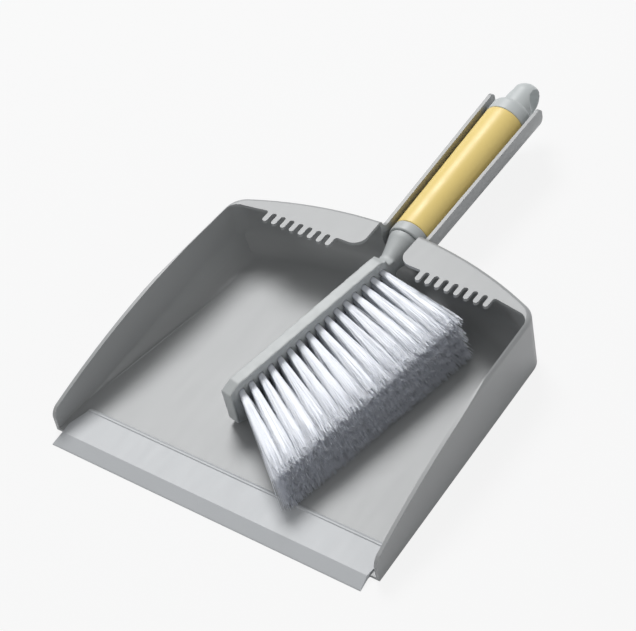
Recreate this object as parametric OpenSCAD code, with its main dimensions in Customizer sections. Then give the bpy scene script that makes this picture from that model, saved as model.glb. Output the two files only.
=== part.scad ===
// Dust pan with a clip-in hand brush. The brush lies in the pan with its handle in the channel handle.
// Lengths in mm. +Z up, +Y from the lip to the hanging ring, origin under the middle of the set.

/* [Pan] */
// Width across the open end, outside
pan_width = 262; // [250:1:275]
// Depth from the lip's front edge to the back of the hood
pan_depth = 242.5; // [238:0.5:250]
// Height of the hood's top
pan_height = 44.5; // [42:0.5:48]
// Wall thickness of the pan and of its channel handle
wall = 2.5; // [2:0.1:2.8]
// Floor thickness
floor_thick = 2.3; // [2:0.1:2.8]
// How far the hood reaches forward
hood_depth = 28.6; // [27:0.2:31]
// Comb teeth on each half of the hood
teeth = 8; // [4:1:8]

/* [Lip] */
// Depth of the soft lip
lip_depth = 36.4; // [33:0.4:38]

/* [Handle] */
// Length of the grip
grip_length = 120.7; // [112:0.1:128]
// Radius of the grip beside the collar
grip_front_r = 13.9; // [13.2:0.1:14.4]
// Radius of the grip beside the end cap
grip_rear_r = 15.8; // [15:0.1:16.4]
// Radius of the hanging hole
hanging_r = 9.4; // [8:0.1:10]
// Slope of the brush in the pan, in degrees
handle_tilt = 2.5; // [2:0.1:3]

/* [Head] */
// Length of the head block
head_length = 145; // [138:1:150]
// Height of the head block
head_height = 35.6; // [34:0.2:37]
// Angle between head and handle, in degrees
head_yaw = 10.8; // [8:0.1:12]
// Tufts in each row
tufts = 16; // [12:1:16]
// Length of the bristles of the lowest row
bristle_length = 78.6; // [70:0.2:80]

/* [Hidden] */
$fn = 64;
// how much a round lies proud of the flat it runs into, so the two cross cleanly
proud = 0.02;
// gap between the brush and the pan under it
rest_gap = 0.3;
// gap beside the handle in the channel
side_gap = 2.1;
// gap round a piece pushed over or into another
fit_gap = 0.1;

// pan outline
tray_front = 12.2;
taper = 2.17;
rear_r = 290;
rear_y = pan_depth - rear_r;
corner_r = 17;
side_n = [cos(taper), sin(taper)];
side_m = [-sin(taper), cos(taper)];
side_c = side_n * [pan_width / 2, tray_front];
corner_base = side_n * (side_c - corner_r) - [0, rear_y];
corner_along = -corner_base * side_m
    + sqrt(pow(corner_base * side_m, 2) - corner_base * corner_base + pow(rear_r - corner_r, 2));
corner_c = side_n * (side_c - corner_r) + side_m * corner_along;
corner_angle = atan2(corner_c.y - rear_y, corner_c.x);
corner_e = [cos(corner_angle), sin(corner_angle)];

// side walls
crest_y = 178;
crest_r = 536;
nose_r = 9;
nose_slope = asin((crest_y - tray_front) / crest_r);
nose_z = pan_height - crest_r + sqrt(pow(crest_r, 2) - pow(crest_y - tray_front, 2));
nose_in = nose_r * tan((90 - nose_slope) / 2);

// hood
hood_thick = 2.4;
hood_y = pan_depth - hood_depth;
hood_edge_r = 4;
hood_bend = 9;
hood_bend_n = [sin(hood_bend), cos(hood_bend)];
bay_r = 9;
tooth_pitch = 7.6;
tooth_gap = 3.9;
tooth_first = 36.7;
tooth_length = 9.3;
tooth_r = (tooth_pitch - tooth_gap) / 2;
hood_bend_x = tooth_first + tooth_pitch * (teeth - 1) + 4.1;
bay_side = side_c - wall - bay_r;
bay_y = (hood_bend_n.x * (hood_bend_x - bay_side / side_n.x) + hood_bend_n.y * hood_y - bay_r)
    / (hood_bend_n.y - hood_bend_n.x * tan(taper));
bay_x = (bay_side - bay_y * side_n.y) / side_n.x;
gap_corner_r = 9.5;

// coves between the floor and the walls
cove_start = 40;
cove_run = 133;
cove_r = 17.8;
cove_rise = cove_r / cove_run;

// lip
lip_proud = 1.3;
bead_proud = 1.8;
lip_in = 6;

// brush, along the handle from the front of the collar
neck_length = 30.5;
collar_length = 8;
core_r = 9;
cap_r = grip_rear_r + 0.3;
cap_length = 12.5;
cap_edge_r = 4;
grip_end = collar_length + grip_length;
cap_end = grip_end + cap_length;
loop_wall = 2.4;
loop_r = hanging_r + loop_wall;
loop_s = cap_end + hanging_r + 5.4;
socket_depth = 6;

// head block
head_thick = 9;
head_x = -1.6;
chamfer = 9;
face_recess = 1;
tuft_face = head_thick - face_recess;
hole_r = 2.35;
hole_depth = 5.5;
anchor_height = 1.8;
tuft_r = 2.2;
tip_r = 3.1;
row_pitch = 5.6;
tuft_first = 10.2;
tuft_last = 3.7;
tuft_pitch = (head_length - tuft_first - tuft_last) / (tufts - 1);

// where the handle lies, so that the head clears the pan's floor by the rest gap
collar_y = pan_depth + 1.5;
front_reach = neck_length + (head_length - chamfer) * cos(head_yaw) + head_thick * sin(head_yaw);
handle_z = floor_thick + rest_gap + head_height / 2 * cos(handle_tilt) + front_reach * sin(handle_tilt);
overall_length = collar_y + loop_s * cos(handle_tilt) + loop_r;

// channel handle, along the handle as well
channel_rise = side_gap - rest_gap;
channel_grow = (cap_r - grip_front_r) / grip_end;
channel_end = cap_end + 5.2;
channel_top = 8.6;
channel_start = -4;
gusset_r = 6;

function channel_r(s) = grip_front_r + side_gap + channel_grow * s;
function handle_point(p) = [
    p.x,
    collar_y + p.y * cos(handle_tilt) - p.z * sin(handle_tilt),
    handle_z + p.y * sin(handle_tilt) + p.z * cos(handle_tilt)
];
function head_point(p) = handle_point([
    head_x + p.x * cos(head_yaw) + p.y * sin(head_yaw),
    -neck_length - p.x * sin(head_yaw) + p.y * cos(head_yaw),
    p.z
]);

// where a tuft leaves the face, where it ends, and the unit vector between the two
function tuft_root(row, i) =
    head_point([tuft_face, tuft_first - head_length + tuft_pitch * i, (row - 1.5) * row_pitch]);
function tuft_reach(row, i) = head_point([
    tuft_face + bristle_length - 2.2 * row, (head_length + 12) * (i / (tufts - 1) - 1) - 9, 0
]);
function tip_z(row, i) = let(
    low = floor_thick + bead_proud + rest_gap + tip_r,
    high = handle_z + 1.7 + 4.4 * i / (tufts - 1)
) low + (high - low) * row / 3;
function tuft_tip(row, i) = [tuft_reach(row, i).x, tuft_reach(row, i).y, tip_z(row, i)];
function tuft_way(row, i) = let(way = tuft_tip(row, i) - tuft_root(row, i)) way / norm(way);

// puts the origin under the middle of the set
module placed() {
    translate([0, -overall_length / 2, 0]) children();
}

// a flat shape drawn as (y, z), extruded across the set
module across(width) {
    rotate([90, 0, 90]) linear_extrude(width, center = true) children();
}

module both_sides() {
    children();
    mirror([1, 0, 0]) children();
}

// the handle's own frame: y along its axis from the collar, z up
module in_handle() {
    translate([0, collar_y, handle_z]) rotate([handle_tilt, 0, 0]) children();
}

// the head's own frame: x out of the tuft face, y from the rear end
module in_head() {
    in_handle() translate([head_x, -neck_length, 0]) rotate([0, 0, -head_yaw]) children();
}

// everything outside a round corner, between the directions a and b
module outside_corner(c, r, a, b) {
    difference() {
        polygon([c, c + a * 60, c + (a + b) * 60, c + b * 60]);
        translate(c) circle(r + proud);
    }
}

// plan of the pan, moved in by an inset
module outline(inset, front) {
    side = side_c - inset;
    half_front = (side - front * side_n.y) / side_n.x;
    half_rear = (side - pan_depth * side_n.y) / side_n.x;
    difference() {
        intersection() {
            polygon([
                [-half_front, front], [half_front, front],
                [half_rear, pan_depth], [-half_rear, pan_depth]
            ]);
            translate([0, rear_y]) circle(rear_r - inset);
        }
        both_sides() outside_corner(corner_c, corner_r - inset, side_n, corner_e);
    }
}

// side view of the walls, drawn as (y, z)
module side_profile() {
    nose_p = [tray_front, nose_z];
    nose_dir = [cos(nose_slope), sin(nose_slope)];
    nose_c = [tray_front + nose_r, nose_z + nose_dir.y * nose_in - nose_r * cos(nose_slope)];
    difference() {
        intersection() {
            union() {
                translate([crest_y, pan_height - crest_r]) circle(crest_r + proud, $fn = 360);
                translate([crest_y, 0]) square([pan_depth, pan_height]);
            }
            translate([tray_front, 0]) square([pan_depth, pan_height]);
        }
        difference() {
            polygon([
                nose_p - [5, nose_in], nose_p + [nose_r, -nose_in],
                nose_p + nose_dir * nose_in + [0.5, 0], nose_p + [0, 10], nose_p + [-5, 10]
            ]);
            translate([tray_front + nose_r, nose_z - nose_in]) circle(nose_r + 3 * proud);
            translate([tray_front + nose_r, -40]) square([40, 40 + nose_z]);
        }
    }
}

// section taken off the hood's top edge, with the wall's face at a radius
module hood_edge(radius) {
    translate([radius - hood_edge_r, pan_height - hood_edge_r]) difference() {
        square(hood_edge_r + 2);
        circle(hood_edge_r + proud);
    }
}

module hood_edge_cut() {
    translate([0, rear_y, 0]) rotate([0, 0, corner_angle - 0.05])
        rotate_extrude(angle = 180 - 2 * corner_angle + 0.1) hood_edge(rear_r);
    both_sides() translate([corner_c.x, corner_c.y, 0]) {
        rotate([0, 0, taper]) rotate_extrude(angle = corner_angle - taper) hood_edge(corner_r);
        rotate([0, 0, taper]) rotate([90, 0, 0]) linear_extrude(110) hood_edge(corner_r);
    }
}

// plan of the opening in front of the hood
module bay() {
    intersection() {
        outline(wall, -20);
        union() {
            difference() {
                polygon([
                    [-200, -30], [200, -30], [200, hood_y - (200 - hood_bend_x) * tan(hood_bend)],
                    [hood_bend_x, hood_y], [-hood_bend_x, hood_y],
                    [-200, hood_y - (200 - hood_bend_x) * tan(hood_bend)]
                ]);
                both_sides() outside_corner([bay_x, bay_y], bay_r, side_n, hood_bend_n);
            }
            both_sides() difference() {
                translate([0, hood_y - 1]) square([channel_r(-25) + gap_corner_r, gap_corner_r + 1]);
                translate([channel_r(-25) + gap_corner_r, hood_y + gap_corner_r])
                    circle(gap_corner_r - proud);
            }
        }
    }
}

// cove along one side: a cone that grows towards the rear, then a cylinder
module side_cove() {
    start_x = (side_c - wall - cove_start * side_n.y) / side_n.x;
    axis = [-cove_rise, 1, cove_rise] / norm([1, cove_rise, cove_rise]);
    sine = cove_rise / norm([1, cove_rise, cove_rise]);
    reach = cove_run * 1.3;
    translate([start_x, cove_start, floor_thick]) rotate([0, 0, taper]) {
        difference() {
            intersection() {
                translate([0, 0, -1]) linear_extrude(cove_r + 2)
                    polygon([[1, 3], [-3 * cove_rise, 3], [-cove_r, cove_run], [1, cove_run]]);
                across(2 * cove_r + 10)
                    polygon([[3, -1], [3, 3 * cove_rise], [cove_run, cove_r], [cove_run, -1]]);
            }
            translate(axis * 1.25) rotate([0, acos(axis.z), atan2(axis.y, axis.x)])
                cylinder(h = reach, r1 = 1.5 * tan(asin(sine)), r2 = (1.5 + reach) * tan(asin(sine)));
        }
        difference() {
            translate([-cove_r, cove_run - 0.01, -1]) cube([cove_r + 1, 60, cove_r + 1]);
            translate([-cove_r, cove_run - 1, cove_r]) rotate([-90, 0, 0])
                cylinder(h = 70, r = cove_r + proud);
        }
    }
}

module rear_cove() {
    inner = rear_r - wall;
    translate([0, rear_y, floor_thick]) rotate([0, 0, 60]) rotate_extrude(angle = 60) difference() {
        translate([inner - cove_r, -1]) square([cove_r + 1, cove_r + 1]);
        translate([inner - cove_r, cove_r]) circle(cove_r + proud);
    }
}

module pan_cavity() {
    difference() {
        translate([0, 0, floor_thick]) linear_extrude(pan_height - hood_thick - floor_thick)
            outline(wall, -20);
        both_sides() side_cove();
        rear_cove();
    }
    translate([0, 0, pan_height - hood_thick - 1]) linear_extrude(hood_thick + 10) bay();
}

// comb teeth in the hood's plane
module comb() {
    last = tooth_first + tooth_pitch * (teeth - 1);
    tip_y = hood_y - tooth_length + tooth_r;
    translate([0, 0, pan_height - hood_thick]) linear_extrude(hood_thick) {
        difference() {
            translate([tooth_first - tooth_pitch / 2 + 0.4, tip_y])
                square([last - tooth_first + tooth_pitch - 0.8, hood_y + 0.5 - tip_y]);
            for (i = [0 : teeth]) translate([tooth_first + tooth_pitch * (i - 0.5), 0]) {
                translate([-tooth_gap / 2 + proud, 0])
                    square([tooth_gap - 2 * proud, hood_y - tooth_gap / 2]);
                translate([0, hood_y - tooth_gap / 2]) circle(tooth_gap / 2, $fn = 32);
            }
        }
        for (i = [0 : teeth - 1])
            translate([tooth_first + tooth_pitch * i, tip_y]) circle(tooth_r, $fn = 32);
    }
}

// U-shaped solid along the handle: round below its axis, straight sides above
module channel_solid(from, to, grow, top) {
    r1 = channel_r(from) + grow;
    r2 = channel_r(to) + grow;
    translate([0, from, channel_rise]) {
        rotate([-90, 0, 0]) cylinder(h = to - from, r1 = r1, r2 = r2);
        linear_extrude(top) polygon([
            [-r1 + proud, 0], [r1 - proud, 0],
            [r2 - proud, to - from], [-r2 + proud, to - from]
        ]);
    }
}

// side view of the channel handle, with the fillet up to the hood and a round rear corner
module channel_profile() {
    corner = 4.5;
    translate([channel_start, -40]) square([channel_end - channel_start - corner, 40 + channel_top]);
    translate([channel_start, -40]) square([channel_end - channel_start, 40 + channel_top - corner]);
    translate([channel_end - corner, channel_top - corner]) circle(corner - proud);
    difference() {
        translate([channel_start, 0]) square([gusset_r + 2.5, channel_top + gusset_r]);
        translate([channel_start + gusset_r + 2.5, channel_top + gusset_r]) circle(gusset_r);
    }
}

module pan_tray() {
    color("#cdcecc") placed() difference() {
        union() {
            difference() {
                intersection() {
                    linear_extrude(pan_height + 1) outline(0, tray_front);
                    across(400) side_profile();
                }
                hood_edge_cut();
                pan_cavity();
            }
            both_sides() comb();
            intersection() {
                in_handle() intersection() {
                    channel_solid(channel_start, channel_end, wall, 30);
                    across(80) channel_profile();
                }
                translate([-100, 0, 0]) cube([200, 600, pan_height]);
            }
        }
        in_handle() channel_solid(-32, channel_end + 5, 0, 60);
    }
}

module lip_strip() {
    half = pan_width / 2 - lip_in;
    top = floor_thick + lip_proud;
    bead = floor_thick + bead_proud;
    color("#c8cccf") placed() intersection() {
        across(pan_width) polygon([
            [0, 0], [tray_front, 0], [tray_front, floor_thick], [lip_depth, floor_thick],
            [lip_depth - 0.2, floor_thick + 0.6], [lip_depth - 2, bead], [lip_depth - 3.2, bead],
            [lip_depth - 3.6, top], [10.1, top], [0.6, 0.9], [0, 0.5]
        ]);
        linear_extrude(20) polygon([
            [-half, 0], [half, 0], [half - 1.4, 10.1], [half - 0.6, lip_depth / 2], [half - 6, lip_depth],
            [6 - half, lip_depth], [0.6 - half, lip_depth / 2], [1.4 - half, 10.1]
        ]);
    }
}

module head_block() {
    half = head_height / 2;
    rear_r = 5;
    difference() {
        rotate([90, 0, 90]) linear_extrude(head_thick) {
            polygon([
                [-head_length, -half + 4], [-head_length + chamfer, -half], [-rear_r, -half],
                [-rear_r, -half + rear_r], [0, -half + rear_r], [0, half - rear_r],
                [-rear_r, half - rear_r], [-rear_r, half], [-head_length + chamfer, half],
                [-head_length, half - 4]
            ]);
            for (side = [-1, 1])
                translate([-rear_r, side * (half - rear_r)]) circle(rear_r - proud);
        }
        translate([tuft_face, 0, 0]) rotate([90, 0, 90]) linear_extrude(10) polygon([
            [-head_length + 1.6, -half + 5], [-head_length + chamfer, -half + 1.6], [-6, -half + 1.6],
            [-1.6, -half + 6], [-1.6, half - 6], [-6, half - 1.6],
            [-head_length + chamfer, half - 1.6], [-head_length + 1.6, half - 5]
        ]);
    }
}

// the neck, as one turned shape with the core of the grip, and the flare up to the head's rear end
module neck() {
    rotate([-90, 0, 0]) rotate_extrude() polygon([
        [0, 1.5 - neck_length], [5.2, 1.5 - neck_length], [6.7, -24], [8.3, -16], [10.6, -8],
        [12, -4], [12.6, 0], [core_r, 0], [core_r, grip_end + socket_depth - rest_gap],
        [0, grip_end + socket_depth - rest_gap]
    ]);
    intersection() {
        across(40) difference() {
            translate([-neck_length - 7.5, -15.4]) square([neck_length - 14.5, 30.8]);
            for (side = [-1, 1]) translate([-22, side * 15.4]) circle(8.5);
        }
        translate([0, 0, -20]) linear_extrude(40) polygon([
            [-3.4, -neck_length - 7], [6.6, -neck_length - 7], [7.2, -neck_length - 1],
            [6.2, -22], [-6.2, -22], [-3.4, -neck_length]
        ]);
    }
}

module brush_body() {
    color("#d3d6d6") placed() difference() {
        union() {
            in_head() head_block();
            in_handle() neck();
        }
        for (row = [0 : 3])
            for (i = [0 : tufts - 1])
                in_hole(row, i) cylinder(h = hole_depth + 4, r = hole_r, $fn = 24);
    }
}

module collar() {
    color("#dcdedc") placed() in_handle() rotate([-90, 0, 0]) difference() {
        cylinder(h = collar_length, r = grip_front_r);
        translate([0, 0, -1]) cylinder(h = collar_length + 2, r = core_r + fit_gap);
    }
}

module grip_sleeve() {
    color("#ecd682") placed() in_handle() translate([0, collar_length, 0]) rotate([-90, 0, 0])
        difference() {
            cylinder(h = grip_length, r1 = grip_front_r, r2 = grip_rear_r);
            translate([0, 0, -1]) cylinder(h = grip_length + 2, r = core_r + fit_gap);
        }
}

module end_cap() {
    eye = loop_s - grip_end;
    color("#bfc3c2") placed() in_handle() difference() {
        translate([0, grip_end, 0]) rotate([-90, 0, 0]) rotate_extrude() {
            square([cap_r - proud, cap_length - cap_edge_r]);
            square([cap_r - cap_edge_r, cap_length - proud]);
            translate([cap_r - cap_edge_r, cap_length - cap_edge_r]) circle(cap_edge_r);
            // the eye's round end
            square([loop_r - proud, eye]);
            intersection() {
                translate([0, eye]) circle(loop_r);
                translate([0, eye - 1]) square([loop_r, loop_r + 2]);
            }
        }
        translate([0, grip_end - 1, 0]) rotate([-90, 0, 0])
            cylinder(h = socket_depth + 1, r = core_r + fit_gap);
        translate([0, loop_s, 0]) rotate([0, 90, 0])
            cylinder(h = 2 * cap_r + 2, r = hanging_r, center = true);
    }
}

// the hole of one tuft: z out of the head along the tuft, from the hole's end
module in_hole(row, i) {
    way = tuft_way(row, i);
    translate(tuft_root(row, i) - way * hole_depth)
        rotate([0, acos(way.z), atan2(way.y, way.x)]) children();
}

module tuft_row(row) {
    color("#eef1f4") placed() for (i = [0 : tufts - 1]) {
        length = norm(tuft_tip(row, i) - tuft_root(row, i)) + hole_depth - anchor_height;
        in_hole(row, i) translate([0, 0, anchor_height])
            cylinder(h = length, r1 = tuft_r, r2 = tip_r, $fn = 24);
    }
}

module tuft_row_1() {
    tuft_row(0);
}

module tuft_row_2() {
    tuft_row(1);
}

module tuft_row_3() {
    tuft_row(2);
}

module tuft_row_4() {
    tuft_row(3);
}

module tuft_anchors() {
    color("#b4b6b8") placed() for (row = [0 : 3])
        for (i = [0 : tufts - 1])
            in_hole(row, i) translate([-2.1, -0.3, 0]) cube([4.2, 0.6, anchor_height]);
}

pan_tray();
lip_strip();
brush_body();
collar();
grip_sleeve();
end_cap();
tuft_row_1();
tuft_row_2();
tuft_row_3();
tuft_row_4();
tuft_anchors();
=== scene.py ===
import math
import bmesh
import bpy
from mathutils import Matrix, Vector


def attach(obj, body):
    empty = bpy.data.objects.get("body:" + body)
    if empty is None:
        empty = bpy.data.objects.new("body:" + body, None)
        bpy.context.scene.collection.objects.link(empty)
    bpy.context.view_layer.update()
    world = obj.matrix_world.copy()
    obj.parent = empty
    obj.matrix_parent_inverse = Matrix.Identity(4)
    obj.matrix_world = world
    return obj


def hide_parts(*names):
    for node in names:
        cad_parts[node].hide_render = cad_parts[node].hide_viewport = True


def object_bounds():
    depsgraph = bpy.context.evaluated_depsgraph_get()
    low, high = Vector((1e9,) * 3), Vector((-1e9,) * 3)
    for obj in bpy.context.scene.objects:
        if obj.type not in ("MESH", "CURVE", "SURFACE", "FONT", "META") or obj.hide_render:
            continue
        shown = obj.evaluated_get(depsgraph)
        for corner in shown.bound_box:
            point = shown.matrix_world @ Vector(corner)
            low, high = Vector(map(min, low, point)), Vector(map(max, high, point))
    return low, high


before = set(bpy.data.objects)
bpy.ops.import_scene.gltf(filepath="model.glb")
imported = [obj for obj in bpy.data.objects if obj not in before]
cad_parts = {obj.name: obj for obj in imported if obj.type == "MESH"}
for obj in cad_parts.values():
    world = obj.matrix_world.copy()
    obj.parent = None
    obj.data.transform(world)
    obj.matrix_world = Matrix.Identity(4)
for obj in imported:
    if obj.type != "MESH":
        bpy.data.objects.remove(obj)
cadBox = [list(corner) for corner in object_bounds()]
mm = 0.001
print("frame loaded")

# the brush lies in the channel handle, a little nose down and with its head turned
brushPlace = {
    "collarY": 244 * mm,  # from the lip's front edge
    "axisZ": 27.614 * mm,
    "tilt": math.radians(2.5),
    "yaw": math.radians(10.8),
    "headX": -1.6 * mm,
    "neckLength": 30.5 * mm,
}
lipY = cadBox[0][1]
handleMatrix = Matrix.Translation(
    (0, lipY + brushPlace["collarY"], brushPlace["axisZ"])
) @ Matrix.Rotation(brushPlace["tilt"], 4, "X")
headMatrix = (
    handleMatrix
    @ Matrix.Translation((brushPlace["headX"], -brushPlace["neckLength"], 0))
    @ Matrix.Rotation(-brushPlace["yaw"], 4, "Z")
)


def linear(hexColor):
    channels = [int(hexColor[i : i + 2], 16) / 255 for i in (1, 3, 5)]
    return [c / 12.92 if c <= 0.04045 else ((c + 0.055) / 1.055) ** 2.4 for c in channels] + [1.0]


def addNode(tree, kind, settings=None, links=None):
    # settings are the node's options or, by name or number, its inputs; links may hold plain values too
    node = tree.nodes.new(kind)
    for key, value in [*(settings or {}).items(), *(links or {}).items()]:
        if isinstance(value, bpy.types.NodeSocket):
            tree.links.new(value, node.inputs[key])
        elif isinstance(key, str) and hasattr(node, key):
            setattr(node, key, value)
        else:
            node.inputs[key].default_value = value
    return node


def newMaterial(name):
    made = bpy.data.materials.new(name)
    made.use_nodes = True
    made.node_tree.nodes.clear()
    return made


def mouldedPlastic(name, look):
    # slow drift in shade from the melt, a fine moulded grain, and gloss that varies with handling
    made = newMaterial(name)
    tree = made.node_tree
    place = addNode(tree, "ShaderNodeTexCoord").outputs["Object"]
    cloud = addNode(
        tree,
        "ShaderNodeTexNoise",
        {"Scale": 1 / (look["cloudMm"] * mm), "Detail": look["cloudDetail"]},
        {"Vector": place},
    )
    shade = addNode(
        tree,
        "ShaderNodeMix",
        {"data_type": "RGBA", 6: linear(look["dark"]), 7: linear(look["light"])},
        {0: cloud.outputs["Fac"]},
    )
    grain = addNode(
        tree,
        "ShaderNodeTexNoise",
        {"Scale": 1 / (look["grainMm"] * mm), "Detail": look["grainDetail"]},
        {"Vector": place},
    )
    streaked = addNode(tree, "ShaderNodeMapping", {"Scale": look["streak"]}, {"Vector": place})
    rub = addNode(
        tree,
        "ShaderNodeTexNoise",
        {"Scale": 1 / (look["rubMm"] * mm), "Detail": look["rubDetail"]},
        {"Vector": streaked.outputs["Vector"]},
    )
    gloss = addNode(
        tree,
        "ShaderNodeMapRange",
        {
            "From Min": look["rubSpan"][0],
            "From Max": look["rubSpan"][1],
            "To Min": look["rough"][0],
            "To Max": look["rough"][1],
        },
        {"Value": rub.outputs["Fac"]},
    )
    dents = addNode(
        tree,
        "ShaderNodeBump",
        {"Strength": look["bump"], "Distance": look["grainDeep"]},
        {"Height": grain.outputs["Fac"]},
    )
    skin = addNode(
        tree,
        "ShaderNodeBsdfPrincipled",
        {"IOR": look["ior"]},
        {
            "Base Color": shade.outputs[2],
            "Roughness": gloss.outputs["Result"],
            "Normal": dents.outputs["Normal"],
        },
    )
    addNode(tree, "ShaderNodeOutputMaterial", None, {"Surface": skin.outputs["BSDF"]})
    return made


panLook = {
    "dark": "#a0a2a3",
    "light": "#a8aaab",
    "cloudMm": 70,  # width of the drift in shade
    "cloudDetail": 3.0,
    "grainMm": 0.9,  # moulded grain, drawn about three times as coarse as real
    "grainDetail": 2.0,
    "grainDeep": 0.04 * mm,
    "bump": 0.04,
    "streak": (1.0, 0.16, 1.0),  # rubbed along the way dirt is swept in
    "rubMm": 5,  # width of a rub mark
    "rubDetail": 3.0,
    "rubSpan": (0.3, 0.7),
    "rough": (0.38, 0.4),
    "ior": 1.49,  # polypropylene
}
lipLook = {
    **panLook,
    "dark": "#b7babd",
    "light": "#c0c3c6",
    "rough": (0.4, 0.43),
    "bump": 0.2,
    "grainMm": 0.7,
}
brushLook = {
    **panLook,
    "dark": "#b9bdbe",
    "light": "#c1c5c5",
    "streak": (1, 1, 1),
    "rough": (0.42, 0.48),
}
capLook = {**brushLook, "dark": "#c4c9ca", "light": "#ccd1d1"}
gripLook = {
    **panLook,
    "dark": "#f4d882",
    "light": "#f8df90",
    "cloudMm": 40,
    "streak": (1, 0.4, 1),
    "rough": (0.34, 0.44),
    "bump": 0.06,
}
# an even grey with a soft sheen, and a grain that shows only where light grazes it
panPlastic = mouldedPlastic("moulded satin polypropylene, light grey", panLook)
# paler and more matt than the pan, so the lip reads as a softer strip
lipPlastic = mouldedPlastic("moulded soft elastomer, light grey", lipLook)
# paler than the pan, with broad soft highlights on its rounded edges
brushPlastic = mouldedPlastic("moulded satin polypropylene, pale grey", brushLook)
# the palest grey, which sets the end cap off from the handle around it
capPlastic = mouldedPlastic("moulded satin polypropylene, cool grey", capLook)
# a warm yellow with a clearer highlight down the round of the grip
gripPlastic = mouldedPlastic("moulded polypropylene, soft yellow", gripLook)


def filamentMaterial(name, look):
    # extruded filament: white with a cold cast, each strand a little different
    made = newMaterial(name)
    tree = made.node_tree
    place = addNode(tree, "ShaderNodeTexCoord").outputs["Object"]
    strand = addNode(
        tree,
        "ShaderNodeTexNoise",
        {"Scale": 1 / (look["strandMm"] * mm), "Detail": look["detail"]},
        {"Vector": place},
    )
    tone = addNode(
        tree,
        "ShaderNodeMix",
        {"data_type": "RGBA", 6: linear(look["dark"]), 7: linear(look["light"])},
        {0: strand.outputs["Fac"]},
    )
    # light scatters through the whole bundle, so each strand is lit largely as the bundle's face is
    facing = addNode(tree, "ShaderNodeTexCoord").outputs["Normal"]
    leaning = addNode(
        tree, "ShaderNodeVectorMath", {"operation": "MULTIPLY", 1: (1, 1, look["lean"])}, {0: facing}
    )
    inWorld = addNode(
        tree,
        "ShaderNodeVectorTransform",
        {"vector_type": "NORMAL", "convert_from": "OBJECT", "convert_to": "WORLD"},
        {0: leaning.outputs[0]},
    )
    unit = addNode(
        tree, "ShaderNodeVectorMath", {"operation": "NORMALIZE"}, {0: inWorld.outputs[0]}
    )
    hair = addNode(
        tree,
        "ShaderNodeBsdfPrincipled",
        {"IOR": look["ior"], "Roughness": look["rough"]},
        {"Base Color": tone.outputs[2], "Normal": unit.outputs[0]},
    )
    addNode(tree, "ShaderNodeOutputMaterial", None, {"Surface": hair.outputs["BSDF"]})
    return made


filamentLook = {
    "dark": "#ebf1fe",
    "light": "#fafcff",
    "strandMm": 1.2,  # a few strands side by side share a shade
    "detail": 1.0,
    "rough": 0.4,
    "lean": 6,  # how far a strand's shading leans to the vertical
    "ior": 1.57,  # polyester
}
filament = filamentMaterial("extruded polyester filament, white", filamentLook)


def wireMaterial(name, look):
    # drawn wire: fine lines in the surface break its gloss up
    made = newMaterial(name)
    tree = made.node_tree
    place = addNode(tree, "ShaderNodeTexCoord").outputs["Object"]
    lines = addNode(
        tree,
        "ShaderNodeTexNoise",
        {"Scale": 1 / (look["lineMm"] * mm), "Detail": look["detail"]},
        {"Vector": place},
    )
    gloss = addNode(
        tree,
        "ShaderNodeMapRange",
        {"To Min": look["rough"][0], "To Max": look["rough"][1]},
        {"Value": lines.outputs["Fac"]},
    )
    metal = addNode(
        tree,
        "ShaderNodeBsdfPrincipled",
        {"Base Color": linear(look["colour"]), "Metallic": 1.0},
        {"Roughness": gloss.outputs["Result"]},
    )
    addNode(tree, "ShaderNodeOutputMaterial", None, {"Surface": metal.outputs["BSDF"]})
    return made


wireLook = {
    "colour": "#b9bbbd",
    "lineMm": 0.3,  # drawing lines, several times as coarse as real
    "detail": 3.0,
    "rough": (0.25, 0.45),
}
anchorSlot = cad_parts["tuft_anchors"].material_slots[0]
anchorSlot.material = wireMaterial("drawn steel wire", wireLook)
print("materials made")


def show(name, mesh, material, body):
    piece = bpy.data.objects.new(name, mesh)
    bpy.context.scene.collection.objects.link(piece)
    mesh.materials.clear()
    mesh.materials.append(material)
    mesh.polygons.foreach_set("use_smooth", [True] * len(mesh.polygons))
    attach(piece, body)
    return piece


def cadCopy(node, gap):
    # the node's triangles, joined into one closed surface
    mesh = bpy.data.meshes.new(node)
    work = bmesh.new()
    work.from_mesh(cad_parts[node].data)
    bmesh.ops.remove_doubles(work, verts=work.verts, dist=gap)
    # smooth from the start, or the weighted normals set later would tilt
    for face in work.faces:
        face.smooth = True
    return mesh, work


def finished(mesh, modifiers):
    # applies a list of (kind, settings) to a mesh and returns the result as a plain mesh
    holder = bpy.data.objects.new(mesh.name + "Work", mesh)
    bpy.context.scene.collection.objects.link(holder)
    for kind, settings in modifiers:
        step = holder.modifiers.new(kind, kind)
        for key, value in settings.items():
            setattr(step, key, value)
    graph = bpy.context.evaluated_depsgraph_get()
    made = bpy.data.meshes.new_from_object(holder.evaluated_get(graph))
    bpy.data.objects.remove(holder)
    return made


panEdges = {
    "width": 0.6 * mm,
    "angle": math.radians(28),
    "join": 0.05 * mm,
    "coveJoin": (172.1 * mm, 173.1 * mm),  # from the lip's front edge
    "coveFacing": 0.9,
}
lipEdges = {"width": 0.35 * mm, "angle": math.radians(12), "join": 0.02 * mm}
edgeFinish = {"segments": 3, "flatAngle": math.radians(0.4), "normalWeight": 80}


def closeCoveStep(work, edges):
    # the rims of the cove's cone and cylinder lie a hair apart, so the finer is welded to the other
    low, high = edges["coveJoin"]
    facing = edges["coveFacing"]
    rim = {
        v
        for f in work.faces
        if abs(f.normal.y) > facing and all(low < v.co.y - lipY < high for v in f.verts)
        for v in f.verts
    }
    rear = [v for v in rim if any(e.other_vert(v).co.y - lipY > high for e in v.link_edges)]
    target = {v: min(rear, key=lambda other: (other.co - v.co).length) for v in rim.difference(rear)}
    bmesh.ops.weld_verts(work, targetmap=target)


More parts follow.
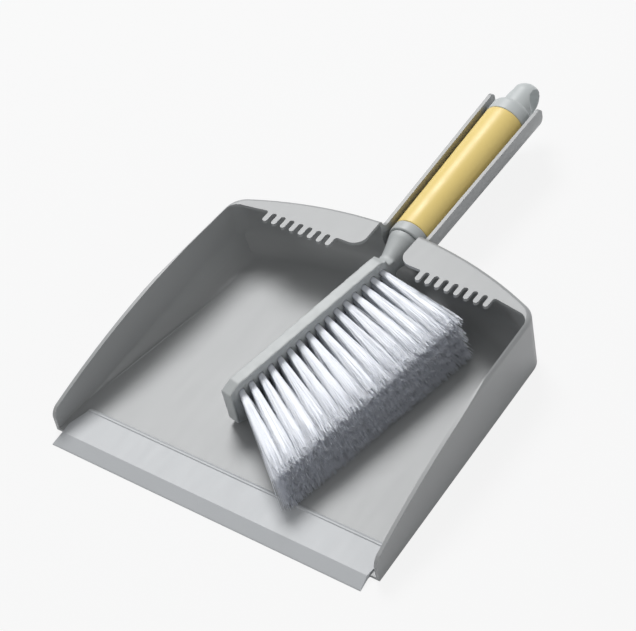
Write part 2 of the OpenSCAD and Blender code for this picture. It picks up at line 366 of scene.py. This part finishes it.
def softEdged(node, edges):
    # the node's own shape with each moulded edge rounded over
    mesh, work = cadCopy(node, edges["join"])
    if "coveJoin" in edges:
        closeCoveStep(work, edges)
    bmesh.ops.dissolve_degenerate(work, edges=work.edges, dist=edges["join"])
    bmesh.ops.dissolve_limit(
        work, angle_limit=edgeFinish["flatAngle"], verts=work.verts, edges=work.edges
    )
    work.to_mesh(mesh)
    work.free()
    rounding = {
        "width": edges["width"],
        "segments": edgeFinish["segments"],
        "limit_method": "ANGLE",
        "angle_limit": edges["angle"],
        "use_clamp_overlap": True,
        "miter_outer": "MITER_ARC",
    }
    return finished(
        mesh,
        [
            ("BEVEL", rounding),
            ("WEIGHTED_NORMAL", {"keep_sharp": True, "weight": edgeFinish["normalWeight"]}),
            ("TRIANGULATE", {"keep_custom_normals": True}),
        ],
    )


tray = show("panTray", softEdged("pan_tray", panEdges), panPlastic, "pan")
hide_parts("pan_tray")
lip = show("lipStrip", softEdged("lip_strip", lipEdges), lipPlastic, "pan")
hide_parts("lip_strip")

coveBead = {
    "radius": 0.85 * mm,
    "tip": 0.03,  # share of the radius that is left at both ends
    "swell": 0.4,  # the lower, the sooner it is at its full radius
    "sunk": 0.35 * mm,
    "start": (126.0 * mm, 48 * mm),  # across, and from the lip's front edge
    "end": (105.0 * mm, 170 * mm),
    "floorZ": 2.3 * mm,
    "rings": 48,
    "sides": 12,
}


def coveBeads():
    # a slender raised line along each cove's lower edge, fading out at both ends
    work = bmesh.new()
    start = Vector(coveBead["start"])
    end = Vector(coveBead["end"])
    normal = Vector((end.y - start.y, start.x - end.x)).normalized()
    for side in (-1, 1):
        rings = []
        for k in range(coveBead["rings"] + 1):
            share = k / coveBead["rings"]
            middle = start.lerp(end, share)
            swell = math.sin(math.pi * share) ** coveBead["swell"]
            radius = coveBead["radius"] * (coveBead["tip"] + swell * (1 - coveBead["tip"]))
            ring = []
            for i in range(coveBead["sides"]):
                turn = 2 * math.pi * i / coveBead["sides"]
                flat = middle + normal * radius * math.cos(turn)
                height = coveBead["floorZ"] - coveBead["sunk"] + radius * math.sin(turn)
                ring.append(work.verts.new((side * flat.x, lipY + flat.y, height)))
            rings.append(ring)
        for first, second in zip(rings, rings[1:]):
            for i in range(coveBead["sides"]):
                after = (i + 1) % coveBead["sides"]
                work.faces.new((first[i], first[after], second[after], second[i]))
        work.faces.new(rings[0])
        work.faces.new(rings[-1])
    bmesh.ops.recalc_face_normals(work, faces=work.faces)
    mesh = bpy.data.meshes.new("coveBeads")
    work.to_mesh(mesh)
    work.free()
    return mesh


show("coveBeads", coveBeads(), panPlastic, "pan")
print("pan done")

headForm = {
    "join": 0.02 * mm,
    "voxel": 0.62 * mm,
    "passes": 5,
    "factor": 0.5,
    "cutAt": 1.5 * mm,  # from the collar's front
    "easeR": 15 * mm,
    "easePasses": 40,
    "easeFactor": 0.5,
    "easeShrink": 0.4,  # how much smaller the eased ball gets by the last pass
}
capForm = {"join": 0.02 * mm, "voxel": 0.36 * mm, "passes": 5, "factor": 0.5}


def fused(node, form):
    # a moulding without sharp corners: its shape on a fine grid, then eased
    mesh, work = cadCopy(node, form["join"])
    if "cutAt" in form:
        # the core goes, because the collar and the grip hide it
        cut = bmesh.ops.bisect_plane(
            work,
            geom=work.verts[:] + work.edges[:] + work.faces[:],
            plane_co=handleMatrix @ Vector((0, form["cutAt"], 0)),
            plane_no=handleMatrix.to_3x3() @ Vector((0, 1, 0)),
            clear_outer=True,
        )
        openEdges = [e for e in cut["geom_cut"] if isinstance(e, bmesh.types.BMEdge)]
        bmesh.ops.holes_fill(work, edges=openEdges)
        bmesh.ops.triangulate(work, faces=work.faces[:])
    work.to_mesh(mesh)
    work.free()
    made = finished(
        mesh,
        [
            ("REMESH", {"mode": "VOXEL", "voxel_size": form["voxel"], "use_smooth_shade": True}),
            ("SMOOTH", {"factor": form["factor"], "iterations": form["passes"]}),
        ],
    )
    if "easeR" in form:
        # where the neck runs into the head the two blend further
        work = bmesh.new()
        work.from_mesh(made)
        joint = handleMatrix @ Vector((brushPlace["headX"], -brushPlace["neckLength"], 0))
        near = [v for v in work.verts if (v.co - joint).length < form["easeR"]]
        for step in range(form["easePasses"]):
            reach = form["easeR"] * (1 - form["easeShrink"] * step / form["easePasses"])
            inside = [v for v in near if (v.co - joint).length < reach]
            bmesh.ops.smooth_vert(
                work,
                verts=inside,
                factor=form["easeFactor"],
                use_axis_x=True,
                use_axis_y=True,
                use_axis_z=True,
            )
        work.to_mesh(made)
        work.free()
    return made


head = show("brushHead", fused("brush_body", headForm), brushPlastic, "brush")
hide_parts("brush_body")


def turned(name, profile, segments=96):
    # a ring-shaped solid on the handle's axis, from (distance along it, radius) points in mm
    work = bmesh.new()
    rings = []
    for along, radius in profile:
        ring = []
        for k in range(segments):
            turn = 2 * math.pi * k / segments
            point = Vector((radius * math.cos(turn), along, radius * math.sin(turn))) * mm
            ring.append(work.verts.new(handleMatrix @ point))
        rings.append(ring)
    for first, second in zip(rings, rings[1:] + rings[:1]):
        for k in range(segments):
            after = (k + 1) % segments
            work.faces.new((first[k], first[after], second[after], second[k]))
    bmesh.ops.recalc_face_normals(work, faces=work.faces)
    mesh = bpy.data.meshes.new(name)
    work.to_mesh(mesh)
    work.free()
    return mesh


def sleeveProfile(form):
    # the outer side from front to rear with both edges rounded, then back through the bore
    start, end, edge = form["start"], form["end"], form["edge"]
    steps = form["edgeSteps"]
    profile = [(start, form["boreR"])]
    for k in range(steps + 1):
        turn = math.pi / 2 * k / steps
        out = form["startR"] - edge + edge * math.sin(turn)
        profile.append((start + edge * (1 - math.cos(turn)), out))
    for k in range(1, form["rows"]):
        share = k / form["rows"]
        along = start + edge + (end - start - 2 * edge) * share
        profile.append((along, form["startR"] + (form["endR"] - form["startR"]) * share))
    for k in range(steps + 1):
        turn = math.pi / 2 * k / steps
        out = form["endR"] - edge + edge * math.cos(turn)
        profile.append((end - edge * (1 - math.sin(turn)), out))
    return profile + [(end, form["boreR"])]


# both sleeves' sizes are in mm, along the handle's axis from the collar's front
collarForm = {
    "start": 0,
    "end": 8,
    "startR": 13.9,
    "endR": 13.9,
    "boreR": 9.1,
    "edge": 0.9,
    "edgeSteps": 6,
    "rows": 4,
}
gripForm = {
    **collarForm,
    "start": collarForm["end"],
    "end": 128.7,
    "endR": 15.8,
    "edge": 0.7,
    "rows": 24,
}
collarMesh = turned("collarRing", sleeveProfile(collarForm))
collar = show("collarRing", collarMesh, brushPlastic, "brush")
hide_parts("collar")
gripMesh = turned("gripSleeve", sleeveProfile(gripForm))
grip = show("gripSleeve", gripMesh, gripPlastic, "brush")
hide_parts("grip_sleeve")
cap = show("endCap", fused("end_cap", capForm), capPlastic, "brush")
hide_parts("end_cap")
print("brush body done")

bristles = {
    "rows": 4,
    "tufts": 16,
    "perTuft": 240,
    "points": 8,
    "sides": 3,
    "radius": 0.13 * mm,
    "quickFewer": 4,
    "quickThicker": 2,
    "rowSeeds": 10000,
    "rootSpread": 1.5 * mm,
    "tipAlong": 6.2 * mm,
    "tipAcross": 4.6 * mm,
    "opening": 0.85,  # the lower, the sooner a tuft opens
    "coreEnd": 0.94,  # share of the tuft's length
    "coreFill": 0.96,  # share of the tuft's width
    "coreShape": (1.32, 1.0, 1.0),
    "coreNarrow": 0.45,
    "coreLate": 9.0,  # the higher, the nearer the end the core narrows
    "corePoints": 14,
    "coreSides": 18,
    "strayAbove": 0.965,  # about one strand in thirty stands out from its tuft
    "strayMore": 0.75,
    "ragged": 4.5 * mm,  # how uneven the cut is
    "crimp": 0.16 * mm,
    "crimpTurn": 21.0,
    "sag": 1.5 * mm,
    "headLength": 145 * mm,
    "face": 8 * mm,
    "firstTuft": 10.2 * mm,
    "lastTuft": 3.7 * mm,
    "rowPitch": 5.6 * mm,
    "length": 78.6 * mm,
    "rowShorter": 2.2 * mm,
    "fanExtra": 12 * mm,
    "fanLean": 9 * mm,
    "holeDepth": 3.0 * mm,
    "lowTipZ": 7.6 * mm,
    "highTipZ": 29.3 * mm,
    "highTipRise": 4.4 * mm,
    "floorZ": 2.55 * mm,
    "lipZ": 4.35 * mm,
    "lipRear": 37.5 * mm,
}


def tuftGuides(row):
    # one straight edge for each tuft, from inside its hole to the middle of its cut end
    work = bmesh.new()
    last = bristles["tufts"] - 1
    lastRow = bristles["rows"] - 1
    across = (row - lastRow / 2) * bristles["rowPitch"]
    pitch = (bristles["headLength"] - bristles["firstTuft"] - bristles["lastTuft"]) / last
    for i in range(bristles["tufts"]):
        share = i / last
        along = bristles["firstTuft"] - bristles["headLength"] + pitch * i
        root = headMatrix @ Vector((bristles["face"], along, across))
        out = bristles["face"] + bristles["length"] - bristles["rowShorter"] * row
        fan = (bristles["headLength"] + bristles["fanExtra"]) * (share - 1) - bristles["fanLean"]
        reach = headMatrix @ Vector((out, fan, 0))
        high = bristles["highTipZ"] + bristles["highTipRise"] * share
        low = bristles["lowTipZ"]
        tip = Vector((reach.x, reach.y, low + (high - low) * row / lastRow))
        way = (tip - root).normalized()
        work.edges.new((work.verts.new(root - way * bristles["holeDepth"]), work.verts.new(tip)))
    mesh = bpy.data.meshes.new("tuftGuides")
    work.to_mesh(mesh)
    work.free()
    return mesh


# every socket of the bristle group with its kind
bristleSockets = {
    "Geometry": "NodeSocketGeometry",
    "Per tuft": "NodeSocketInt",
    "Points": "NodeSocketInt",
    "Radius": "NodeSocketFloat",
    "Root": "NodeSocketFloat",
    "Grow along": "NodeSocketFloat",
    "Grow across": "NodeSocketFloat",
    "Opening": "NodeSocketFloat",
    "Ragged": "NodeSocketFloat",
    "Crimp": "NodeSocketFloat",
    "Sag": "NodeSocketFloat",
    "Along": "NodeSocketVector",
    "Across": "NodeSocketVector",
    "Out": "NodeSocketVector",
    "Floor": "NodeSocketFloat",
    "Lip step": "NodeSocketFloat",
    "Lip rear": "NodeSocketFloat",
    "Core end": "NodeSocketFloat",
    "Core fill": "NodeSocketFloat",
    "First strand": "NodeSocketInt",
    "Material": "NodeSocketMaterial",
}

# what differs from strand to strand: seed, low and high
strandChances = {
    "turn": (1, 0.0, 2 * math.pi),
    "area": (2, 0.0, 1.0),
    "wild": (3, 0.0, 1.0),
    "cut": (4, -1.0, 0.35),
    "phase": (5, 0.0, 2 * math.pi),
    "lean": (6, -2.2 * mm, 2.2 * mm),
}

# how far each point of a strand moves: result, operation, terms
strandSteps = [
    ("far", "SQRT", "area"),
    ("isStray", "GREATER_THAN", "wild", bristles["strayAbove"]),
    ("stray", "MULTIPLY_ADD", "isStray", bristles["strayMore"], 1.0),
    ("opened", "POWER", "share", "Opening"),
    ("grown", "MULTIPLY", "opened", "stray"),
    ("alongSize", "MULTIPLY_ADD", "grown", "Grow along", "Root"),
    ("acrossSize", "MULTIPLY_ADD", "grown", "Grow across", "Root"),
    ("alongTurn", "COSINE", "turn"),
    ("acrossTurn", "SINE", "turn"),
    ("alongPlace", "MULTIPLY", "alongTurn", "far"),
    ("acrossPlace", "MULTIPLY", "acrossTurn", "far"),
    ("square", "POWER", "share", 2.0),
    ("root", "SQRT", "share"),
    ("angle", "MULTIPLY_ADD", "share", bristles["crimpTurn"], "phase"),
    ("wave", "SINE", "angle"),
    ("ripple", "MULTIPLY", "wave", "Crimp"),
    ("crimped", "MULTIPLY", "ripple", "root"),
    ("leaning", "MULTIPLY_ADD", "square", "lean", "crimped"),
    ("alongShift", "MULTIPLY_ADD", "alongPlace", "alongSize", "leaning"),
    ("acrossShift", "MULTIPLY_ADD", "acrossPlace", "acrossSize", "crimped"),
    ("cutBack", "MULTIPLY", "cut", "Ragged"),
    ("outShift", "MULTIPLY", "cutBack", "share"),
    ("sagging", "MULTIPLY", "square", "Sag"),
    ("downShift", "MULTIPLY", "sagging", -1.0),
]

# how wide a tuft's core is along its length, and how far it hangs
coreSteps = [
    ("full", "MULTIPLY", "share", "Core end"),
    ("opened", "POWER", "full", "Opening"),
    ("wide", "MULTIPLY_ADD", "opened", "Grow across", "Root"),
    ("filled", "MULTIPLY", "wide", "Core fill"),
    # the end is drawn in, so that only loose strands show there
    ("late", "POWER", "share", bristles["coreLate"]),
    ("narrowed", "MULTIPLY_ADD", "late", -bristles["coreNarrow"], 1.0),
    ("size", "MULTIPLY", "filled", "narrowed"),
    ("square", "POWER", "full", 2.0),
    ("sagging", "MULTIPLY", "square", "Sag"),
    ("downShift", "MULTIPLY", "sagging", -1.0),
]


def bristleTree():
    tree = bpy.data.node_groups.new("splayed bristles", "GeometryNodeTree")
    face = tree.interface
    face.new_socket("Geometry", in_out="OUTPUT", socket_type="NodeSocketGeometry")
    for label, kind in bristleSockets.items():
        face.new_socket(label, in_out="INPUT", socket_type=kind)
    given = addNode(tree, "NodeGroupInput").outputs
    lines = addNode(tree, "GeometryNodeMeshToCurve", None, {"Mesh": given["Geometry"]})
    many = addNode(
        tree,
        "GeometryNodeDuplicateElements",
        {"domain": "SPLINE"},
        {"Geometry": lines.outputs["Curve"], "Amount": given["Per tuft"]},
    )
    fine = addNode(
        tree,
        "GeometryNodeResampleCurve",
        None,
        {"Curve": many.outputs["Geometry"], "Count": given["Points"]},
    )
    index = addNode(tree, "GeometryNodeCurveOfPoint").outputs["Curve Index"]
    strand = addNode(
        tree, "ShaderNodeMath", {"operation": "ADD"}, {0: index, 1: given["First strand"]}
    )
    known = {label: given[label] for label in bristleSockets}
    known["share"] = addNode(tree, "GeometryNodeSplineParameter").outputs["Factor"]
    for label, (seed, low, high) in strandChances.items():
        chance = addNode(
            tree,
            "FunctionNodeRandomValue",
            {"data_type": "FLOAT", 2: low, 3: high, "Seed": seed},
            {"ID": strand.outputs[0]},
        )
        known[label] = chance.outputs[1]
    for label, operation, *terms in strandSteps:
        inputs = {place: known.get(term, term) for place, term in enumerate(terms)}
        known[label] = addNode(tree, "ShaderNodeMath", {"operation": operation}, inputs).outputs[0]
    shift = addNode(tree, "ShaderNodeCombineXYZ", None, {"Z": known["downShift"]}).outputs[0]
    for way, size in (("Along", "alongShift"), ("Across", "acrossShift"), ("Out", "outShift")):
        shift = addNode(
            tree,
            "ShaderNodeVectorMath",
            {"operation": "MULTIPLY_ADD"},
            {0: known[way], 1: known[size], 2: shift},
        ).outputs[0]
    spread = addNode(
        tree, "GeometryNodeSetPosition", None, {"Geometry": fine.outputs["Curve"], "Offset": shift}
    )
    # the inner strands of a tuft are one pale body, a little shorter than the rest
    short = addNode(
        tree,
        "GeometryNodeTrimCurve",
        {"mode": "FACTOR"},
        {0: lines.outputs["Curve"], 3: given["Core end"]},
    )
    shortFine = addNode(
        tree,
        "GeometryNodeResampleCurve",
        {"Count": bristles["corePoints"]},
        {"Curve": short.outputs[0]},
    )
    inner = {**known, "share": addNode(tree, "GeometryNodeSplineParameter").outputs["Factor"]}
    for label, operation, *terms in coreSteps:
        inputs = {place: inner.get(term, term) for place, term in enumerate(terms)}
        inner[label] = addNode(tree, "ShaderNodeMath", {"operation": operation}, inputs).outputs[0]
    coreShift = addNode(tree, "ShaderNodeCombineXYZ", None, {"Z": inner["downShift"]}).outputs[0]
    core = addNode(
        tree,
        "GeometryNodeSetPosition",
        None,
        {"Geometry": shortFine.outputs["Curve"], "Offset": coreShift},
    )
    level = addNode(tree, "GeometryNodeSetCurveNormal", {"mode": "Z_UP"}, {0: core.outputs[0]})
    circle = addNode(
        tree,
        "GeometryNodeCurvePrimitiveCircle",
        {"mode": "RADIUS", "Resolution": bristles["coreSides"], "Radius": 1.0},
    )
    outline = addNode(
        tree,
        "GeometryNodeTransform",
        {"Scale": bristles["coreShape"]},
        {"Geometry": circle.outputs["Curve"]},
    )
    coreMesh = addNode(
        tree,
        "GeometryNodeCurveToMesh",
        {"Fill Caps": True},
        {
            "Curve": level.outputs[0],
            "Profile Curve": outline.outputs["Geometry"],
            "Scale": inner["size"],
        },
    )
    # what would dip into the pan's floor or the lip lies on it
    at = addNode(tree, "GeometryNodeInputPosition").outputs[0]
    parts = addNode(tree, "ShaderNodeSeparateXYZ", None, {0: at}).outputs
    onLip = addNode(
        tree, "ShaderNodeMath", {"operation": "LESS_THAN"}, {0: parts["Y"], 1: given["Lip rear"]}
    )
    ground = addNode(
        tree,
        "ShaderNodeMath",
        {"operation": "MULTIPLY_ADD"},
        {0: onLip.outputs[0], 1: given["Lip step"], 2: given["Floor"]},
    )
    height = addNode(
        tree, "ShaderNodeMath", {"operation": "MAXIMUM"}, {0: parts["Z"], 1: ground.outputs[0]}
    )
    lifted = addNode(
        tree,
        "ShaderNodeCombineXYZ",
        None,
        {"X": parts["X"], "Y": parts["Y"], "Z": height.outputs[0]},
    )
    resting = addNode(
        tree,
        "GeometryNodeSetPosition",
        None,
        {"Geometry": spread.outputs["Geometry"], "Position": lifted.outputs[0]},
    )
    coreResting = addNode(
        tree,
        "GeometryNodeSetPosition",
        None,
        {"Geometry": coreMesh.outputs["Mesh"], "Position": lifted.outputs[0]},
    )
    ring = addNode(
        tree,
        "GeometryNodeCurvePrimitiveCircle",
        {"mode": "RADIUS", "Resolution": bristles["sides"]},
        {"Radius": given["Radius"]},
    )
    tubes = addNode(
        tree,
        "GeometryNodeCurveToMesh",
        {"Fill Caps": True},
        {"Curve": resting.outputs["Geometry"], "Profile Curve": ring.outputs["Curve"]},
    )
    both = addNode(tree, "GeometryNodeJoinGeometry", None, {0: tubes.outputs["Mesh"]})
    tree.links.new(coreResting.outputs["Geometry"], both.inputs[0])
    whole = addNode(tree, "GeometryNodeRealizeInstances", None, {"Geometry": both.outputs[0]})
    dressed = addNode(
        tree,
        "GeometryNodeSetMaterial",
        None,
        {"Geometry": whole.outputs["Geometry"], "Material": given["Material"]},
    )
    addNode(tree, "NodeGroupOutput", None, {"Geometry": dressed.outputs["Geometry"]})
    return tree


growthTree = bristleTree()
identifiers = {
    item.name: item.identifier
    for item in growthTree.interface.items_tree
    if item.in_out == "INPUT"
}
headTurn = headMatrix.to_3x3()
for row in range(bristles["rows"]):
    holder = bpy.data.objects.new("bristleHolder", tuftGuides(row))
    bpy.context.scene.collection.objects.link(holder)
    growth = holder.modifiers.new("bristles", "NODES")
    growth.node_group = growthTree
    rowSettings = {
        "Per tuft": bristles["perTuft"] // 1,
        "Points": bristles["points"],
        "Radius": bristles["radius"] * 1,
        "Root": bristles["rootSpread"],
        "Grow along": bristles["tipAlong"] - bristles["rootSpread"],
        "Grow across": bristles["tipAcross"] - bristles["rootSpread"],
        "Opening": bristles["opening"],
        "Ragged": bristles["ragged"],
        "Crimp": bristles["crimp"],
        "Sag": bristles["sag"],
        "Along": headTurn @ Vector((0, 1, 0)),
        "Across": headTurn @ Vector((0, 0, 1)),
        "Out": headTurn @ Vector((1, 0, 0)),
        "Floor": bristles["floorZ"],
        "Lip step": bristles["lipZ"] - bristles["floorZ"],
        "Lip rear": lipY + bristles["lipRear"],
        "Core end": bristles["coreEnd"],
        "Core fill": bristles["coreFill"],
        "First strand": bristles["rowSeeds"] * row,
        "Material": filament,
    }
    for label, value in rowSettings.items():
        growth[identifiers[label]] = value
    graph = bpy.context.evaluated_depsgraph_get()
    grown = bpy.data.meshes.new_from_object(holder.evaluated_get(graph))
    bpy.data.objects.remove(holder)
    piece = show(f"bristleRow{row + 1}", grown, filament, "brush")
    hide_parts(f"tuft_row_{row + 1}")
    print("bristle row", row + 1, len(grown.polygons))

room = {
    "floor": "#fafafa",
    "floorBounce": "#eeeeef",
    "shadowShare": 0.9,
    "size": 6,
    "ambient": 0.33,
}


def floorSheet():
    # shows plain white to the camera with a faint shadow, and lights the object as white paper does
    size = room["size"]
    corners = [(-size, -size, 0), (size, -size, 0), (size, size, 0), (-size, size, 0)]
    mesh = bpy.data.meshes.new("floorSheet")
    mesh.from_pydata(corners, [], [(0, 1, 2, 3)])
    made = newMaterial("matte white paper")
    tree = made.node_tree
    path = addNode(tree, "ShaderNodeLightPath").outputs
    seen = addNode(tree, "ShaderNodeEmission", {"Color": linear(room["floor"]), "Strength": 1.0})
    lit = addNode(tree, "ShaderNodeBsdfDiffuse", {"Color": linear(room["floorBounce"])})
    share = addNode(
        tree,
        "ShaderNodeMath",
        {"operation": "MULTIPLY", 1: room["shadowShare"]},
        {0: path["Is Camera Ray"]},
    )
    both = addNode(
        tree,
        "ShaderNodeMixShader",
        None,
        {0: share.outputs[0], 1: lit.outputs[0], 2: seen.outputs[0]},
    )
    addNode(tree, "ShaderNodeOutputMaterial", None, {"Surface": both.outputs[0]})
    mesh.materials.append(made)
    sheet = bpy.data.objects.new("floorSheet", mesh)
    bpy.context.scene.collection.objects.link(sheet)


floorSheet()

lamps = {
    "keySoftbox": {"place": (-1.5, 1.35, 2.45), "size": (1.35, 1.15), "power": 70},
    "rightSoftbox": {"place": (1.7, -0.5, 0.75), "size": (1.0, 0.8), "power": 3.6},
    "frontStrip": {"place": (-0.95, -1.5, 0.62), "size": (0.35, 0.12), "power": 2.6},
}
for name, lamp in lamps.items():
    data = bpy.data.lights.new(name, "AREA")
    data.shape = "RECTANGLE"
    data.size, data.size_y = lamp["size"]
    data.energy = lamp["power"]
    made = bpy.data.objects.new(name, data)
    bpy.context.scene.collection.objects.link(made)
    made.location = lamp["place"]
    made.rotation_euler = (-Vector(lamp["place"])).to_track_quat("-Z", "Y").to_euler()

world = bpy.data.worlds.new("studio")
bpy.context.scene.world = world
world.use_nodes = True
sky = world.node_tree
sky.nodes.clear()
path = addNode(sky, "ShaderNodeLightPath").outputs
soft = addNode(sky, "ShaderNodeBackground", {"Color": (1, 1, 1, 1), "Strength": room["ambient"]})
white = addNode(sky, "ShaderNodeBackground", {"Color": linear(room["floor"]), "Strength": 1.0})
mixed = addNode(
    sky,
    "ShaderNodeMixShader",
    None,
    {0: path["Is Camera Ray"], 1: soft.outputs[0], 2: white.outputs[0]},
)
addNode(sky, "ShaderNodeOutputWorld", None, {"Surface": mixed.outputs[0]})

view = {
    "azimuth": math.radians(43.77),
    "elevation": math.radians(45.22),
    "roll": math.radians(-11.99),
    "place": (714.7 * mm, lipY - 601.7 * mm, 1090.3 * mm),
    "lens": 127.04,
    "sensor": 36,
    "clip": (0.05, 50),
}


def addCamera():
    data = bpy.data.cameras.new("camera")
    data.lens = view["lens"]
    data.sensor_width = view["sensor"]
    data.sensor_fit = "HORIZONTAL"
    data.clip_start, data.clip_end = view["clip"]
    a, e, r = view["azimuth"], view["elevation"], view["roll"]
    back = Vector((math.sin(a) * math.cos(e), -math.cos(a) * math.cos(e), math.sin(e)))
    level = Vector((math.cos(a), math.sin(a), 0))
    upright = back.cross(level)
    right = level * math.cos(r) + upright * math.sin(r)
    up = upright * math.cos(r) - level * math.sin(r)
    made = bpy.data.objects.new("camera", data)
    bpy.context.scene.collection.objects.link(made)
    turn = Matrix((right, up, back)).transposed().to_4x4()
    made.matrix_world = Matrix.Translation(view["place"]) @ turn
    bpy.context.scene.camera = made


addCamera()
bpy.context.scene.view_settings.view_transform = "Standard"
print("room done")
